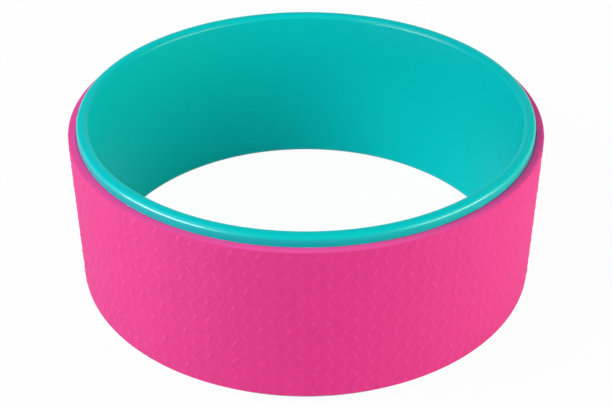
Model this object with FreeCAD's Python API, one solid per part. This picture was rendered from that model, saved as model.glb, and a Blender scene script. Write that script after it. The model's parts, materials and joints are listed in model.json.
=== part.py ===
# Yoga wheel, lying on its side: a thick plastic ring with one strip of foam tread bonded round it.
# Millimetres. +Z runs along the wheel's axis, and the origin is the centre of the lower rim's flat land.
import FreeCAD
import Part
import os

# Ring: a length of thick-walled plastic pipe, with its four edges turned round.
ring_outer_diameter = 318.0
ring_wall = 8.5
ring_width = 128.0
ring_inner_round = 4.0
ring_outer_round = 3.0

# Tread: one strip of foam sheet, wrapped round the ring until its two cut ends meet.
tread_width = 113.0
tread_thickness = 5.7
tread_edge_round = 0.4

# Adhesive: a contact film under the tread, kept back from its edges, and the glue line in the butt seam.
film_thickness = 0.3
film_setback = 0.1
seam_gap = 0.4
seam_setback = 0.5

# The rounds at two edges take at most this share of the wall or sheet between them.
round_limit_share = 0.9

# How far a cutting tool reaches past the piece that it cuts.
cut_overrun = 2.0

ring_outer_radius = ring_outer_diameter / 2
ring_bore_radius = ring_outer_radius - ring_wall
tread_inner_radius = ring_outer_radius + film_thickness
tread_outer_radius = tread_inner_radius + tread_thickness
tread_bottom = (ring_width - tread_width) / 2

wheel_centre = FreeCAD.Vector(0, 0, 0)
wheel_axis = FreeCAD.Vector(0, 0, 1)
wheel_back = FreeCAD.Vector(0, 1, 0)


def corner_edges(corner, towards_before, towards_after, radius):
    """The quarter arc that rounds a corner between two straight sides, or nothing if it is sharp."""
    start = corner + towards_before * radius
    end = corner + towards_after * radius
    centre = start + towards_after * radius
    middle = centre + (corner - centre).normalize() * radius if radius else corner
    return start, end, [Part.Arc(start, middle, end).toShape()] if radius else []


def turned_ring(inner_radius, outer_radius, bottom, height, inner_round=0, outer_round=0):
    """A ring turned from a section at the back of the wheel, with round edges inside and outside."""
    inward = -wheel_back
    outward = wheel_back
    up = wheel_axis
    down = -wheel_axis
    top = bottom + height
    corners = [
        (FreeCAD.Vector(0, inner_radius, bottom), up, outward, inner_round),
        (FreeCAD.Vector(0, outer_radius, bottom), inward, up, outer_round),
        (FreeCAD.Vector(0, outer_radius, top), down, inward, outer_round),
        (FreeCAD.Vector(0, inner_radius, top), outward, down, inner_round),
    ]
    rounded = [corner_edges(*corner) for corner in corners]
    edges = []
    for (start, end, arc), (next_start, _, _) in zip(rounded, rounded[1:] + rounded[:1]):
        edges += arc
        edges.append(Part.LineSegment(end, next_start).toShape())
    return Part.Face(Part.Wire(edges)).revolve(wheel_centre, wheel_axis, 360)


def seam_slab():
    """The narrow flat slab, at the back of the wheel, that separates the strip's two cut ends."""
    depth = tread_outer_radius - tread_inner_radius + 2 * cut_overrun
    height = tread_width + 2 * cut_overrun
    corner = FreeCAD.Vector(-seam_gap / 2, tread_inner_radius - cut_overrun, tread_bottom - cut_overrun)
    return Part.makeBox(seam_gap, depth, height, corner)


def make_core_ring():
    """The rigid ring, with round edges that leave a narrow flat land on each rim."""
    fit = min(1, ring_wall * round_limit_share / (ring_inner_round + ring_outer_round))
    rounds = ring_inner_round * fit, ring_outer_round * fit
    return turned_ring(ring_bore_radius, ring_outer_radius, 0, ring_width, *rounds)


def make_adhesive_film():
    """The bonding film between ring and tread."""
    height = tread_width - 2 * film_setback
    return turned_ring(ring_outer_radius, tread_inner_radius, tread_bottom + film_setback, height)


def make_tread_pad():
    """The foam strip: outer edges slightly round, ends a glue line apart."""
    edge_round = min(tread_edge_round, tread_thickness * round_limit_share)
    band = turned_ring(
        tread_inner_radius, tread_outer_radius, tread_bottom, tread_width, outer_round=edge_round
    )
    return band.cut(seam_slab())


def make_seam_bond():
    """The glue line in the butt seam, a little below the tread's outer face and ends."""
    outer_radius = tread_outer_radius - seam_setback
    height = tread_width - 2 * seam_setback
    bottom = tread_bottom + seam_setback
    return turned_ring(tread_inner_radius, outer_radius, bottom, height).common(seam_slab())


pieces = {
    "core_ring": make_core_ring(),
    "adhesive_film": make_adhesive_film(),
    "tread_pad": make_tread_pad(),
    "seam_bond": make_seam_bond(),
}

os.makedirs("parts", exist_ok=True)
for node, shape in pieces.items():
    solid = shape.Solids[0]
    solid.exportStep(f"parts/{node}.step")
    box = solid.optimalBoundingBox()
    sizes = f"{box.XLength:.2f} x {box.YLength:.2f} x {box.ZLength:.2f} mm"
    print(f"{node}: {len(shape.Solids)} solid, {sizes}, {solid.Volume:.0f} mm3, valid {solid.isValid()}")
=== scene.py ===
# %% [markdown]
# # Dressing a yoga wheel
# A yoga wheel is a rigid plastic ring with one strip of foam sheet glued round its outside. People lie
# back over it or balance on it, so its rims are round and polished, and its foam has an embossed pattern
# that grips. The measured model already has every piece at its real size. This lesson loads it as a fixed
# frame and gives the ring, the foam and the glue the shapes and finishes that the eye expects.

# %% Load the measured model
import json
import math

import bpy
import numpy as np
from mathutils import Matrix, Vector


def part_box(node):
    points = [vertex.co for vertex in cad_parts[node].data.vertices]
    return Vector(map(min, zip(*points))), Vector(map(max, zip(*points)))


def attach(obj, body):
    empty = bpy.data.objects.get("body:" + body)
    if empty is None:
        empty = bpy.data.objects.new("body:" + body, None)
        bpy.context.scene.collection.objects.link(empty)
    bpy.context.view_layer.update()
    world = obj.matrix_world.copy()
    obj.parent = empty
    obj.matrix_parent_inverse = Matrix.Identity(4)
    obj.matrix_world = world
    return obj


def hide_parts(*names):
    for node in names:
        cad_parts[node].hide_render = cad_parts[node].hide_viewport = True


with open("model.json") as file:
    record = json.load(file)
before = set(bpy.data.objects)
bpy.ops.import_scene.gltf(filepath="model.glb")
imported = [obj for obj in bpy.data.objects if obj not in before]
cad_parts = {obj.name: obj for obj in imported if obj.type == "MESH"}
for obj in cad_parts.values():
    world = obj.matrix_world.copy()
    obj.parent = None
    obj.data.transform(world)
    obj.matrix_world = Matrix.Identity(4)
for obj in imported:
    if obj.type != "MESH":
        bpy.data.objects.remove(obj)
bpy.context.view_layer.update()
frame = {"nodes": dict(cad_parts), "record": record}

print("pieces in the frame:", ", ".join(sorted(frame["nodes"])))

# %% [markdown]
# ## Sizes
# Nothing is measured twice: the next cell reads the sizes from the frame, so the dressed wheel follows
# the model when the model changes. A box gives an outer radius. The record states the bore, how long its
# straight wall is, and where the middle of the rim's flat land lies. What the wall and the land leave
# over are the rounds at the rim's inner and outer edge. Blender works in metres, and a maker thinks in
# millimetres.

# %% Read the sizes
MM = 0.001

mounts = {mount["name"]: mount for mount in frame["record"]["mounts"]}
bore = mounts["bore"]["dims"]
land_radius = mounts["upper_rim"]["pos_m"][0]
ring_low, ring_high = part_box("core_ring")
tread_low, tread_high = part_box("tread_pad")

ring_width = ring_high.z - ring_low.z
ring_outer_radius = ring_high.y
ring_bore_radius = bore["r_mm"] * MM
ring_wall = ring_outer_radius - ring_bore_radius
inner_round = (ring_width - bore["length_mm"] * MM) / 2
half_land = land_radius - ring_bore_radius - inner_round
outer_round = ring_outer_radius - land_radius - half_land
wheel_centre = Vector((0, 0, ring_width / 2))

tread_outer_radius = tread_high.y
tread_inner_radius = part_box("adhesive_film")[1].y
tread_thickness = tread_outer_radius - tread_inner_radius
tread_width = tread_high.z - tread_low.z

print(f"ring {ring_wall / MM:.1f} mm thick, {ring_width / MM:.0f} mm wide")
print(f"rim rounds {inner_round / MM:.1f} mm inside, {outer_round / MM:.1f} mm outside")
print(f"tread {tread_thickness / MM:.1f} mm thick, {tread_width / MM:.0f} mm wide")

# %% [markdown]
# ## Two small helpers
# A node tree is a list of nodes with settings and links. One function that adds a node, sets it and links
# it keeps each tree readable. Colours are written as the sRGB hex values that a paint chart would give,
# and one function turns them into the linear light that the renderer adds up.

# %% Helpers for nodes and colours
def add_node(tree, kind, inputs=None, **settings):
    """Adds a node. Inputs are values, or output sockets to link, by socket name or number."""
    made = tree.nodes.new(kind)
    for name, value in settings.items():
        setattr(made, name, value)
    for key, value in (inputs or {}).items():
        if isinstance(value, bpy.types.NodeSocket):
            tree.links.new(value, made.inputs[key])
        else:
            made.inputs[key].default_value = value
    return made


def linear(hex_colour):
    """A colour written as six hex digits, as linear red, green, blue and alpha."""
    channels = [int(hex_colour[start:start + 2], 16) / 255 for start in (0, 2, 4)]
    return [c / 12.92 if c <= 0.04045 else ((c + 0.055) / 1.055) ** 2.4 for c in channels] + [1]


teal = "00CBC7"
print("teal in linear light:", [round(c, 3) for c in linear(teal)])

# %% [markdown]
# ## The camera
# The wheel lies on its side and is seen from about 33 degrees above, close enough that its far rim looks
# smaller than its near one. How much the ellipses shrink gives the distance, and their size in the
# picture gives the lens. The camera looks a little below the wheel's middle, so the wheel sits high in
# the frame without any lens shift.

# %% Set up the camera
photo_width = 612
focal_pixels = 1155
camera_distance = 843.3 * MM
camera_elevation = math.radians(32.65)
aim_below_centre = math.radians(1.07)

camera_data = bpy.data.cameras.new("photo_camera")
camera_data.lens = focal_pixels / photo_width * camera_data.sensor_width
camera = bpy.data.objects.new("photo_camera", camera_data)
bpy.context.scene.collection.objects.link(camera)
bpy.context.scene.camera = camera

towards_camera = Vector((0, -math.cos(camera_elevation), math.sin(camera_elevation)))
camera.location = wheel_centre + towards_camera * camera_distance
camera.rotation_euler = (math.pi / 2 - camera_elevation - aim_below_centre, 0, 0)
print(f"lens {camera_data.lens:.1f} mm, {camera_distance:.3f} m from the wheel's centre")

# %% [markdown]
# ## The finish of the ring
# The ring is a length of thick ABS pipe. ABS is dyed through, so its colour is deep and even. The
# extruder leaves the wall satin, while the rims were turned round on a lathe and polished. That gives the
# eye a strong plain colour on the wall, and soft lines of light along the rims.

# %% Materials: satin and polished ABS, teal
def new_material(name):
    """A material with its node tree and its shader."""
    material = bpy.data.materials.new(name)
    material.use_nodes = True
    return material, material.node_tree, material.node_tree.nodes["Principled BSDF"]


def satin_teal_abs():
    """Extruded ABS wall: deep even colour, hardly any gloss, faint draw marks along the axis."""
    mark_width = 3 * MM
    mark_length = 100 * MM
    mark_depth = 0.05 * MM
    material, tree, shader = new_material("satin_teal_abs")
    place = add_node(tree, "ShaderNodeTexCoord")
    drawn = add_node(tree, "ShaderNodeMapping", {
        "Vector": place.outputs["Object"], "Scale": (1, 1, mark_width / mark_length)})
    marks = add_node(tree, "ShaderNodeTexNoise", {
        "Vector": drawn.outputs[0], "Scale": 1 / mark_width, "Detail": 2})
    bump = add_node(tree, "ShaderNodeBump", {
        "Height": marks.outputs[0], "Strength": 0.1, "Distance": mark_depth})
    tree.links.new(bump.outputs[0], shader.inputs["Normal"])
    shader.inputs["Base Color"].default_value = linear(teal)
    shader.inputs["Roughness"].default_value = 0.5
    shader.inputs["Specular IOR Level"].default_value = 0.05
    return material


def polished_teal_abs():
    """Turned and hand-polished ABS rims: the same dye under a soft gloss that draws lines of light."""
    haze_width = 8 * MM
    material, tree, shader = new_material("polished_teal_abs")
    place = add_node(tree, "ShaderNodeTexCoord")
    haze = add_node(tree, "ShaderNodeTexNoise", {
        "Vector": place.outputs["Object"], "Scale": 1 / haze_width})
    gloss = add_node(tree, "ShaderNodeMapRange", {
        "Value": haze.outputs[0], "To Min": 0.26, "To Max": 0.32})
    tree.links.new(gloss.outputs[0], shader.inputs["Roughness"])
    shader.inputs["Base Color"].default_value = linear(teal)
    shader.inputs["IOR"].default_value = 1.54
    shader.inputs["Specular IOR Level"].default_value = 0.15
    return material


wall_finish = satin_teal_abs()
rim_finish = polished_teal_abs()
print("made", wall_finish.name, "and", rim_finish.name)

# %% [markdown]
# ## Trees that make shapes
# Geometry Nodes suit a shape that follows a rule. Each tree here has named inputs, so a size can be
# changed in one place. The second helper below sets those inputs, runs the tree once and keeps a plain
# mesh, so the finished shape no longer depends on the tree.

# %% Helpers for geometry trees
def sized_tree(name, sizes):
    """A geometry tree with named inputs. Returns the tree, its inputs and its last socket."""
    tree = bpy.data.node_groups.new(name, "GeometryNodeTree")
    tree.interface.new_socket("Geometry", in_out="INPUT", socket_type="NodeSocketGeometry")
    for label, kind in sizes.items():
        tree.interface.new_socket(label, in_out="INPUT", socket_type=kind)
    tree.interface.new_socket("Geometry", in_out="OUTPUT", socket_type="NodeSocketGeometry")
    start = add_node(tree, "NodeGroupInput")
    end = add_node(tree, "NodeGroupOutput")
    return tree, start.outputs, end.inputs[0]


def plain_mesh(name, tree, values, start_mesh=None):
    """Runs a tree with its input values and keeps the result as an object with a plain mesh."""
    piece = bpy.data.objects.new(name, start_mesh or bpy.data.meshes.new(name))
    bpy.context.scene.collection.objects.link(piece)
    modifier = piece.modifiers.new(tree.name, "NODES")
    modifier.node_group = tree
    for socket in tree.interface.items_tree:
        if socket.name in values:
            modifier[socket.identifier] = values[socket.name]
    graph = bpy.context.evaluated_depsgraph_get()
    result = bpy.data.meshes.new_from_object(piece.evaluated_get(graph))
    piece.modifiers.remove(modifier)
    piece.data = result
    return piece


def describe(piece):
    """Prints what a piece measures."""
    sides = " x ".join(f"{side / MM:.1f}" for side in piece.dimensions)
    print(f"{piece.name}: {len(piece.data.polygons)} faces, {sides} mm")


print("geometry trees for Blender", bpy.app.version_string)

# %% [markdown]
# ## The ring
# A ring with the same section all the way round is what a lathe makes. It could be a spun outline, but a
# tree says the rule itself: a rectangle of wall and width, its corners rounded, swept along a circle. The
# rounds differ: the inner edge, where hands grip the wheel, is rounder than the outer one beside the
# foam.

# %% Round the section of the ring
ring_sizes = {
    "Middle Radius": "NodeSocketFloat",
    "Wall": "NodeSocketFloat",
    "Width": "NodeSocketFloat",
    "Inner Round": "NodeSocketFloat",
    "Outer Round": "NodeSocketFloat",
    "Steps Around": "NodeSocketInt",
    "Steps In A Round": "NodeSocketInt",
    "Lift": "NodeSocketVector",
    "Polish From": "NodeSocketFloat",
}
ring_tree, ring_inputs, ring_end = sized_tree("swept_ring", ring_sizes)
section = add_node(ring_tree, "GeometryNodeCurvePrimitiveQuadrilateral", {
    "Width": ring_inputs["Wall"], "Height": ring_inputs["Width"]})
corner = add_node(ring_tree, "GeometryNodeInputPosition")
corner_axes = add_node(ring_tree, "ShaderNodeSeparateXYZ", {0: corner.outputs[0]})
on_outside = add_node(ring_tree, "FunctionNodeCompare", {
    0: corner_axes.outputs["X"], 1: 0.0}, data_type="FLOAT", operation="GREATER_THAN")
corner_round = add_node(ring_tree, "GeometryNodeSwitch", {
    "Switch": on_outside.outputs[0],
    "False": ring_inputs["Inner Round"],
    "True": ring_inputs["Outer Round"],
}, input_type="FLOAT")
rounded = add_node(ring_tree, "GeometryNodeFilletCurve", {
    "Curve": section.outputs[0],
    "Count": ring_inputs["Steps In A Round"],
    "Radius": corner_round.outputs[0],
}, mode="POLY")
print("ring tree:", len(ring_sizes), "named inputs")

# %% [markdown]
# The circle has the radius of the wall's middle, because the section lies evenly on both sides of it. The
# swept ring is centred on the origin, so it is lifted until its lower rim lies on the floor.

# %% Sweep the section round the wheel
circle = add_node(ring_tree, "GeometryNodeCurvePrimitiveCircle", {
    "Resolution": ring_inputs["Steps Around"], "Radius": ring_inputs["Middle Radius"]})
swept = add_node(ring_tree, "GeometryNodeCurveToMesh", {
    "Curve": circle.outputs[0], "Profile Curve": rounded.outputs[0]})
lifted = add_node(ring_tree, "GeometryNodeTransform", {
    "Geometry": swept.outputs[0], "Translation": ring_inputs["Lift"]})
smooth_ring = add_node(ring_tree, "GeometryNodeSetShadeSmooth", {"Geometry": lifted.outputs[0]})
real_ring = add_node(ring_tree, "GeometryNodeRealizeInstances", {"Geometry": smooth_ring.outputs[0]})
print("ring tree:", len(ring_tree.nodes), "nodes so far")

# %% [markdown]
# The polish covers everything that the lathe reached: the outside, the lands and the rounds. Only the
# straight bore stays satin. A face is polished when it lies further from the wheel's axis than the bore
# does, by a small margin that keeps the bore itself out.

# %% Give wall and rims their finishes
polish_margin = 0.1 * MM

place = add_node(ring_tree, "GeometryNodeInputPosition")
flat = add_node(ring_tree, "ShaderNodeVectorMath", {
    0: place.outputs[0], 1: (1, 1, 0)}, operation="MULTIPLY")
from_axis = add_node(ring_tree, "ShaderNodeVectorMath", {0: flat.outputs[0]}, operation="LENGTH")
outside = add_node(ring_tree, "FunctionNodeCompare", {
    0: from_axis.outputs["Value"], 1: ring_inputs["Polish From"],
}, data_type="FLOAT", operation="GREATER_THAN")
satin = add_node(ring_tree, "GeometryNodeSetMaterial", {
    "Geometry": real_ring.outputs[0], "Material": wall_finish})
polished = add_node(ring_tree, "GeometryNodeSetMaterial", {
    "Geometry": satin.outputs[0], "Selection": outside.outputs[0], "Material": rim_finish})
ring_tree.links.new(polished.outputs[0], ring_end)

ring = plain_mesh("ring", ring_tree, {
    "Middle Radius": (ring_outer_radius + ring_bore_radius) / 2,
    "Wall": ring_wall,
    "Width": ring_width,
    "Inner Round": inner_round,
    "Outer Round": outer_round,
    "Steps Around": 720,
    "Steps In A Round": 16,
    "Lift": wheel_centre,
    "Polish From": ring_bore_radius + polish_margin,
})
describe(ring)

# %% [markdown]
# The straight walls are single tall faces beside the small faces of the rounds. Normals weighted by face
# area keep the walls reading as straight and the rounds as round. The weight is at its highest, so the
# large faces win wherever they meet small ones.

# %% Weight the ring's normals
weighted = ring.modifiers.new("weighted_normals", "WEIGHTED_NORMAL")
weighted.mode = "FACE_AREA"
weighted.weight = 100
print("ring normals weighted by", weighted.mode.lower().replace("_", " "))

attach(ring, "root")
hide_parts("core_ring")

# %% [markdown]
# ## The finish of the foam
# The tread is closed-cell TPE foam, made as a sheet and pressed between hot rollers. The rollers leave a
# matt skin with a fine grain. The raised ribs are painted a little lighter than the ground between them,
# a painted highlight on their crests. Where the sheet was cut into a strip, the cells are open, so the
# cut edges look paler and rougher than the skin.
# Real grain and real cells are too fine to show from here, so both are drawn a few times as coarse.

# %% Materials: embossed foam skin and cut foam edge
def embossed_pink_foam():
    """Roller-embossed TPE foam: matt, soft at grazing angles, with a painted highlight on the ribs."""
    ground_pink = linear("E7398C")
    # The ribs' lighter pink is a painted highlight on their crests, set against the ground between them.
    rib_pink_painted_highlight = linear("EC4193")
    grain_width = 2.2 * MM
    grain_depth = 0.6 * MM
    material, tree, shader = new_material("embossed_pink_foam")
    place = add_node(tree, "ShaderNodeTexCoord")
    rib = add_node(tree, "ShaderNodeAttribute", attribute_name="rib")
    shade = add_node(tree, "ShaderNodeMix", {
        0: rib.outputs["Fac"], 6: ground_pink, 7: rib_pink_painted_highlight}, data_type="RGBA")
    grain = add_node(tree, "ShaderNodeTexNoise", {
        "Vector": place.outputs["Object"], "Scale": 1 / grain_width, "Detail": 3})
    bump = add_node(tree, "ShaderNodeBump", {
        "Height": grain.outputs[0], "Strength": 0.8, "Distance": grain_depth})
    tree.links.new(shade.outputs[2], shader.inputs["Base Color"])
    tree.links.new(bump.outputs[0], shader.inputs["Normal"])
    shader.inputs["Roughness"].default_value = 0.65
    shader.inputs["Specular IOR Level"].default_value = 0.07
    shader.inputs["Sheen Weight"].default_value = 0.05
    return material


def cut_pink_foam():
    """Knife-cut TPE foam: open cells, paler and rougher than the skin."""
    cell_width = 0.8 * MM
    cell_depth = 0.3 * MM
    material, tree, shader = new_material("cut_pink_foam")
    place = add_node(tree, "ShaderNodeTexCoord")
    cells = add_node(tree, "ShaderNodeTexVoronoi", {
        "Vector": place.outputs["Object"], "Scale": 1 / cell_width})
    bump = add_node(tree, "ShaderNodeBump", {
        "Height": cells.outputs[0], "Strength": 0.4, "Distance": cell_depth})
    tree.links.new(bump.outputs[0], shader.inputs["Normal"])
    shader.inputs["Base Color"].default_value = linear("F84EA0")
    shader.inputs["Roughness"].default_value = 0.8
    return material


foam_skin = embossed_pink_foam()
foam_cut = cut_pink_foam()
print("made", foam_skin.name, "and", foam_cut.name)

# %% [markdown]
# ## The foam strip
# The strip is a flat band bent round the ring, so its section is a plain rectangle with its outer edges a
# little soft. It is built row by row: out along the cut lower edge, round, up the outer skin, round, and
# back along the cut upper edge to the ring. A plain mesh in code gives close rows on the skin, where the
# embossing needs them, and few elsewhere. Each row also says how much of it is skin, from none on a cut
# edge to all on the outer face.

# %% Lay out the rows of the strip
pattern_rows = 16
steps_in_a_row = 8
cut_rows = 6
edge_rows = 4
edge_round = 0.4 * MM


def strip_section():
    """Radius, height and skin share of each row, from the lower inner edge to the upper inner edge."""
    low = tread_low.z
    high = tread_high.z
    round_radius = tread_outer_radius - edge_round
    rows = [(radius, low, 0) for radius in np.linspace(tread_inner_radius, round_radius, cut_rows)]
    for turn in np.linspace(0, math.pi / 2, edge_rows + 1)[1:]:
        share = math.sin(turn)
        rise = edge_round * (1 - math.cos(turn))
        rows.append((round_radius + edge_round * share, low + rise, share))
    upper = [(radius, low + high - height, share) for radius, height, share in reversed(rows)]
    heights = np.linspace(low + edge_round, high - edge_round, pattern_rows * steps_in_a_row + 1)
    skin = [(tread_outer_radius, height, 1) for height in heights[1:-1]]
    return np.array(rows + skin + upper)


section_rows = strip_section()
print("strip section:", len(section_rows), "rows")

# %% [markdown]
# Turned round the wheel in small steps, the rows become a closed strip. Its two ends stay a glue line
# apart at the back of the wheel, and each end is one flat face, as a knife leaves it.

# %% Bend the strip round the ring
pattern_columns = 120
steps_in_a_column = 12
seam_low, seam_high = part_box("seam_bond")
seam_gap = seam_high.x - seam_low.x


def strip_mesh(rows):
    """The closed strip, from one side of the seam at the back round the front to the other side."""
    radius, height, share = rows.T
    half_gap = math.asin(seam_gap / 2 / tread_outer_radius)
    steps_around = pattern_columns * steps_in_a_column
    turns = np.linspace(half_gap, 2 * math.pi - half_gap, steps_around + 1) + math.pi / 2
    x = np.outer(np.cos(turns), radius)
    y = np.outer(np.sin(turns), radius)
    z = np.broadcast_to(height, x.shape)
    points = np.stack([x, y, z], axis=-1).reshape(-1, 3)
    count = len(radius)
    column, row = np.meshgrid(np.arange(steps_around) * count, np.arange(count), indexing="ij")
    beside = column + count
    above = (row + 1) % count
    sides = np.stack([column + row, beside + row, beside + above, column + above], axis=-1)
    last = steps_around * count
    ends = [list(range(count)), list(range(last + count - 1, last - 1, -1))]
    mesh = bpy.data.meshes.new("foam_strip")
    mesh.from_pydata(points.tolist(), [], sides.reshape(-1, 4).tolist() + ends)
    skin = mesh.attributes.new("skin", "FLOAT", "POINT")
    skin.data.foreach_set("value", np.tile(share, len(turns)).astype(np.float32))
    return mesh


plain_strip = strip_mesh(section_rows)
print("plain strip:", len(plain_strip.polygons), "faces")

# %% [markdown]
# ## The embossing
# The rollers press rows of short ribs into the skin. The ribs lean one way in one row and the other way
# in the next, and every second rib stands higher, so the eye reads a fine woven zigzag. Separate ribs
# would only lie on the foam, while on the real sheet they are one skin with it. So a tree of named steps
# works out, for each point of the skin, how far it lies from the nearest rib, lifts it there a little and
# sinks it everywhere else. It starts from the sizes of the pattern and the place of the point.

# %% Inputs of the embossing
weave_sizes = {
    "Columns": "NodeSocketFloat",
    "Rows": "NodeSocketFloat",
    "Low": "NodeSocketFloat",
    "Height": "NodeSocketFloat",
    "Start": "NodeSocketFloat",
    "Row Shift": "NodeSocketFloat",
    "Lean": "NodeSocketFloat",
    "Rib Half Width": "NodeSocketFloat",
    "Rib Height": "NodeSocketFloat",
    "End Sharpness": "NodeSocketFloat",
    "Odd Rib Loss": "NodeSocketFloat",
    "Ground Level": "NodeSocketFloat",
    "Pressure Scale": "NodeSocketFloat",
}
weave_tree, weave_inputs, weave_end = sized_tree("embossed_weave", weave_sizes)
point = add_node(weave_tree, "GeometryNodeInputPosition")
axes = add_node(weave_tree, "ShaderNodeSeparateXYZ", {0: point.outputs[0]})
skin_share = add_node(weave_tree, "GeometryNodeInputNamedAttribute", {"Name": "skin"}, data_type="FLOAT")

known = {label: weave_inputs[label] for label in weave_sizes}
known.update(x=axes.outputs[0], y=axes.outputs[1], z=axes.outputs[2], skin=skin_share.outputs[0])
print("known from the start:", ", ".join(known))

# %% [markdown]
# A chain of small sums is easiest to read as a list: what comes out, what is done, and with which terms.
# The first sums turn a point's place into columns round the wheel and rows up its width.

# %% Find a point's place in the pattern
def add_steps(steps):
    """Adds a chain of sums. A term is a number, or the name of a value that is known by then."""
    for name, operation, *terms in steps:
        inputs = {number: known.get(term, term) for number, term in enumerate(terms)}
        known[name] = add_node(weave_tree, "ShaderNodeMath", inputs, operation=operation).outputs[0]
    print("worked out:", ", ".join(name for name, *_ in steps))


add_steps([
    ("turn", "ARCTAN2", "y", "x"),
    ("turns", "DIVIDE", "turn", 2 * math.pi),
    ("along", "MULTIPLY", "turns", "Columns"),
    ("above", "SUBTRACT", "z", "Low"),
    ("climb", "DIVIDE", "above", "Height"),
    ("across", "MULTIPLY", "climb", "Rows"),
    ("row", "FLOOR", "across"),
    ("in row", "SUBTRACT", "across", "row"),
    ("off middle", "SUBTRACT", "in row", 0.5),
])

# %% [markdown]
# Each column of a row holds one rib. Odd rows are shifted and lean the other way. What is left after
# rounding to the nearest rib is the distance from it, in shares of a column.

# %% Find the nearest rib
add_steps([
    ("odd row", "FLOORED_MODULO", "row", 2),
    ("row start", "MULTIPLY_ADD", "odd row", "Row Shift", "Start"),
    ("lean way", "MULTIPLY_ADD", "odd row", -2, 1),
    ("lean", "MULTIPLY", "lean way", "Lean"),
    ("leaning", "MULTIPLY_ADD", "off middle", "lean", "along"),
    ("shifted", "ADD", "leaning", "row start"),
    ("nearest rib", "ROUND", "shifted"),
    ("off rib", "SUBTRACT", "shifted", "nearest rib"),
    ("rib distance", "ABSOLUTE", "off rib"),
])

# %% [markdown]
# A pressed rib has no sharp edges. Across, it falls off as a smooth bell. Along, it sinks away towards
# its two ends, where the next row begins.

# %% Shape the rib
add_steps([
    ("rib share", "DIVIDE", "rib distance", "Rib Half Width"),
    ("rib reach", "MINIMUM", "rib share", 1),
    ("rib flank", "MULTIPLY", "rib reach", "rib reach"),
    ("rib top", "SUBTRACT", 1, "rib flank"),
    ("rib round", "MULTIPLY", "rib top", "rib top"),
    ("end distance", "ABSOLUTE", "off middle"),
    ("end share", "MULTIPLY", "end distance", 2),
    ("end fall", "POWER", "end share", "End Sharpness"),
    ("rib end", "SUBTRACT", 1, "end fall"),
    ("rib whole", "MULTIPLY", "rib round", "rib end"),
])

# %% [markdown]
# Every second rib loses some of its height. Rollers never press quite evenly either, so a slow noise
# makes some ribs higher than others. Its mean is one half, so it is doubled, and the ribs keep their
# height on average. The ground between the ribs lies a little below the sheet's own level.

# %% Press the rib
uneven = add_node(weave_tree, "ShaderNodeTexNoise", {
    "Vector": point.outputs[0], "Scale": weave_inputs["Pressure Scale"], "Detail": 2.0, "Roughness": 0.6})
known["pressure"] = uneven.outputs[0]
add_steps([
    ("odd rib", "FLOORED_MODULO", "nearest rib", 2),
    ("rib loss", "MULTIPLY", "odd rib", "Odd Rib Loss"),
    ("rib strength", "SUBTRACT", 1, "rib loss"),
    ("rib even", "MULTIPLY", "rib whole", "rib strength"),
    ("rib uneven", "MULTIPLY", "rib even", "pressure"),
    ("rib", "MULTIPLY", "rib uneven", 2),
    ("off level", "SUBTRACT", "rib", "Ground Level"),
    ("press", "MULTIPLY", "off level", "Rib Height"),
    ("skin press", "MULTIPLY", "press", "skin"),
])

# %% [markdown]
# The tree then moves each point along its own radius and keeps the rib share as an attribute for the
# material, which uses it to paint a highlight on the ribs. It also gives the skin and the cut edges their
# finishes. On the soft edge, a face belongs to the skin once about a third of it is skin.

# %% Move the skin and give it its finish
skin_from = 0.3

flat_way = add_node(weave_tree, "ShaderNodeCombineXYZ", {"X": known["x"], "Y": known["y"]})
outwards = add_node(weave_tree, "ShaderNodeVectorMath", {0: flat_way.outputs[0]}, operation="NORMALIZE")
push = add_node(weave_tree, "ShaderNodeVectorMath", {
    0: outwards.outputs[0], "Scale": known["skin press"]}, operation="SCALE")
kept = add_node(weave_tree, "GeometryNodeStoreNamedAttribute", {
    "Geometry": weave_inputs["Geometry"], "Name": "rib", "Value": known["rib"],
}, data_type="FLOAT", domain="POINT")
pressed = add_node(weave_tree, "GeometryNodeSetPosition", {
    "Geometry": kept.outputs[0], "Offset": push.outputs[0]})
smooth_skin = add_node(weave_tree, "GeometryNodeSetShadeSmooth", {"Geometry": pressed.outputs[0]})
real_skin = add_node(weave_tree, "GeometryNodeRealizeInstances", {"Geometry": smooth_skin.outputs[0]})
is_skin = add_node(weave_tree, "FunctionNodeCompare", {
    0: known["skin"], 1: skin_from}, data_type="FLOAT", operation="GREATER_THAN")
cut = add_node(weave_tree, "GeometryNodeSetMaterial", {
    "Geometry": real_skin.outputs[0], "Material": foam_cut})
coloured = add_node(weave_tree, "GeometryNodeSetMaterial", {
    "Geometry": cut.outputs[0], "Selection": is_skin.outputs[0], "Material": foam_skin})
weave_tree.links.new(coloured.outputs[0], weave_end)
print("embossing tree:", len(weave_tree.nodes), "nodes")

# %% [markdown]
# Half a millimetre is enough: the ribs show where light comes from the side and almost vanish where it
# comes from the front. Places along the pattern are in shares of a column, so the rib's width is divided
# by the column's.

# %% Emboss the strip
rib_half_width = 1.9 * MM
rib_height = 0.42 * MM
pressure_spread = 10 * MM
column_width = 2 * math.pi * tread_outer_radius / pattern_columns

tread = plain_mesh("tread", weave_tree, {
    "Columns": float(pattern_columns),
    "Rows": float(pattern_rows),
    "Low": tread_low.z,
    "Height": tread_width,
    "Start": 0.44,
    "Row Shift": 0.75,
    "Lean": 0.42,
    "Rib Half Width": rib_half_width / column_width,
    "Rib Height": rib_height,
    "End Sharpness": 1.5,
    "Odd Rib Loss": 0.3,
    "Ground Level": 0.15,
    "Pressure Scale": 1 / pressure_spread,
}, plain_strip)
describe(tread)

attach(tread, "root")
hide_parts("tread_pad")

# %% [markdown]
# ## The glue
# Contact adhesive dries to a thin, slightly glossy film. It shows only as a thin pale line where the foam
# meets the ring, and as a fine line in the butt seam at the back. The measured pieces already have the
# right shape, so they only get a finish.

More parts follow.
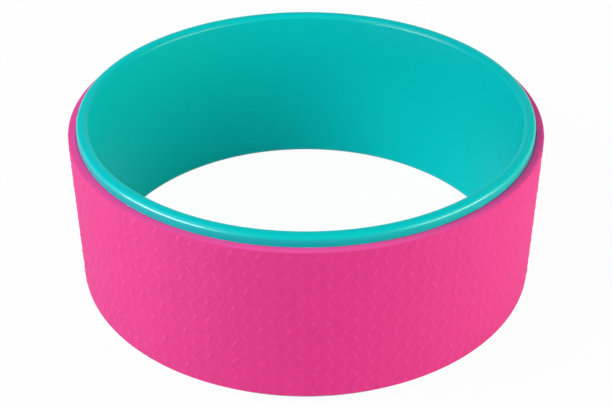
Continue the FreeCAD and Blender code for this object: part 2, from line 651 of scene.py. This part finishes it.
# %% Material: dried contact adhesive
def dried_contact_adhesive():
    """Brushed-on contact adhesive: a thin uneven film, glossier where it pooled."""
    pool_width = 6 * MM
    material, tree, shader = new_material("dried_contact_adhesive")
    place = add_node(tree, "ShaderNodeTexCoord")
    pools = add_node(tree, "ShaderNodeTexNoise", {
        "Vector": place.outputs["Object"], "Scale": 1 / pool_width})
    gloss = add_node(tree, "ShaderNodeMapRange", {
        "Value": pools.outputs[0], "To Min": 0.3, "To Max": 0.6})
    tree.links.new(gloss.outputs[0], shader.inputs["Roughness"])
    shader.inputs["Base Color"].default_value = linear("D9C7CF")
    return material


glue = dried_contact_adhesive()
for node_name in ("adhesive_film", "seam_bond"):
    glued = frame["nodes"][node_name]
    glued.data.materials.clear()
    glued.data.materials.append(glue)
    print(glue.name, "on", node_name)

# %% [markdown]
# ## The floor
# A product on white stands on a painted sweep, a floor whose edge curves up into a low wall. This one
# glows by itself for the eye and for reflections, so the background is white from every side without more
# light on the wheel. A small share of what the eye sees still comes from the lamps, so the wheel keeps a
# faint shadow.

# %% Material: painted sweep
def white_sweep():
    """Painted studio floor: white to the eye, and still darker where the wheel shades it."""
    glow_share = 0.96
    material, tree, shader = new_material("white_sweep")
    shader.inputs["Base Color"].default_value = linear("F2F2F2")
    shader.inputs["Roughness"].default_value = 0.9
    shader.inputs["Specular IOR Level"].default_value = 0
    path = add_node(tree, "ShaderNodeLightPath")
    seen_or_mirrored = add_node(tree, "ShaderNodeMath", {
        0: path.outputs["Is Camera Ray"], 1: path.outputs["Is Glossy Ray"]}, operation="MAXIMUM")
    seen_at_all = add_node(tree, "ShaderNodeMath", {
        0: seen_or_mirrored.outputs[0], 1: path.outputs["Is Transmission Ray"]}, operation="MAXIMUM")
    share = add_node(tree, "ShaderNodeMath", {
        0: seen_at_all.outputs[0], 1: glow_share}, operation="MULTIPLY")
    white = add_node(tree, "ShaderNodeEmission", {"Strength": 1.0})
    mix = add_node(tree, "ShaderNodeMixShader", {
        0: share.outputs[0], 1: shader.outputs[0], 2: white.outputs[0]})
    tree.links.new(mix.outputs[0], tree.nodes["Material Output"].inputs["Surface"])
    return material


paint = white_sweep()
print("made", paint.name)

# %% [markdown]
# The sweep is one outline turned round: a flat floor, a quarter curve and a low wall. The wall is just
# high enough to fill the background of an almost level view.

# %% Floor
def sweep_mesh(radius, height, curve, curve_steps, steps_around):
    """A round floor whose edge curves up into a low wall."""
    profile = [(radius - curve, 0)]
    for turn in np.linspace(0, math.pi / 2, curve_steps + 1)[1:]:
        profile.append((radius - curve + curve * math.sin(turn), curve - curve * math.cos(turn)))
    profile.append((radius, height))
    turns = np.linspace(0, 2 * math.pi, steps_around, endpoint=False)
    points = [(out * math.cos(turn), out * math.sin(turn), up) for out, up in profile for turn in turns]
    faces = [tuple(range(steps_around))]
    for low in range(0, (len(profile) - 1) * steps_around, steps_around):
        high = low + steps_around
        for step in range(steps_around):
            beside = (step + 1) % steps_around
            faces.append((low + step, high + step, high + beside, low + beside))
    mesh = bpy.data.meshes.new("sweep")
    mesh.from_pydata(points, [], faces)
    return mesh


floor_mesh = sweep_mesh(radius=8.0, height=1.15, curve=0.8, curve_steps=8, steps_around=96)
sweep = bpy.data.objects.new("sweep", floor_mesh)
sweep.data.materials.append(paint)
bpy.context.scene.collection.objects.link(sweep)
print("sweep:", " x ".join(f"{side:.1f}" for side in sweep.dimensions), "m")

# %% [markdown]
# ## The room
# A dim plain world stands for the light that the studio's walls throw back. It stays dim, so that the
# lamps shape the wheel.

# %% World
room_light = 0.1

world = bpy.data.worlds.new("studio")
bpy.context.scene.world = world
world.use_nodes = True
world.node_tree.nodes["Background"].inputs["Color"].default_value = linear("FFFFFF")
world.node_tree.nodes["Background"].inputs["Strength"].default_value = room_light
print(f"world at {room_light:.0%} of full light")

# %% [markdown]
# ## The lamps
# Two softboxes stand at the sides, so the tread is darkest in front. A weak one in front and one behind
# fill the rest. Such large lamps would show as white patches in the polish, so they are hidden from
# reflections. Two low strip lamps do the opposite. They are seen only in reflections, where each draws a
# soft line of light along the rim. Distances and sizes are in metres.

# %% Softboxes and strip lamps
def studio_place(azimuth, elevation, distance):
    """A point round the wheel: azimuth in degrees from the camera's side, positive to its right."""
    turn = math.radians(azimuth)
    rise = math.radians(elevation)
    flat = distance * math.cos(rise)
    offset = Vector((flat * math.sin(turn), -flat * math.cos(turn), distance * math.sin(rise)))
    return wheel_centre + offset


def lamp(name, place, width, height, watts, colour="FFFFFF", only_reflected=False):
    """A rectangular lamp, aimed at the wheel's middle, that lights either surfaces or reflections."""
    data = bpy.data.lights.new(name, "AREA")
    data.shape = "RECTANGLE"
    data.size = width
    data.size_y = height
    data.energy = watts
    data.color = linear(colour)[:3]
    light = bpy.data.objects.new(name, data)
    light.location = place
    light.rotation_euler = (wheel_centre - place).to_track_quat("-Z", "Y").to_euler()
    light.visible_glossy = only_reflected
    light.visible_diffuse = not only_reflected
    bpy.context.scene.collection.objects.link(light)
    print(f"{name}: {watts} W")


lamp("left_softbox", studio_place(azimuth=-66, elevation=40, distance=1.5),
     width=1.2, height=1.0, watts=20.5, colour="F8F4FF")
lamp("right_softbox", studio_place(azimuth=70, elevation=18, distance=1.5),
     width=1.2, height=0.8, watts=15.8, colour="FFFFF4")
lamp("front_softbox", studio_place(azimuth=0, elevation=55, distance=1.6),
     width=1.0, height=1.0, watts=2.2)
lamp("back_softbox", studio_place(azimuth=180, elevation=16, distance=1.5),
     width=1.2, height=0.8, watts=7)
lamp("left_strip", studio_place(azimuth=-62, elevation=2, distance=1.4),
     width=1.0, height=0.3, watts=85, only_reflected=True)
lamp("right_strip", studio_place(azimuth=66, elevation=2, distance=1.4),
     width=1.0, height=0.3, watts=42, only_reflected=True)

# %% [markdown]
# ## The view
# Blender's usual view softens strong colours, as film does. The Standard view shows them as they were
# written, so the teal and the pink stay as strong as they are on the real wheel.

# %% View
bpy.context.scene.view_settings.view_transform = "Standard"
print("view:", bpy.context.scene.view_settings.view_transform)
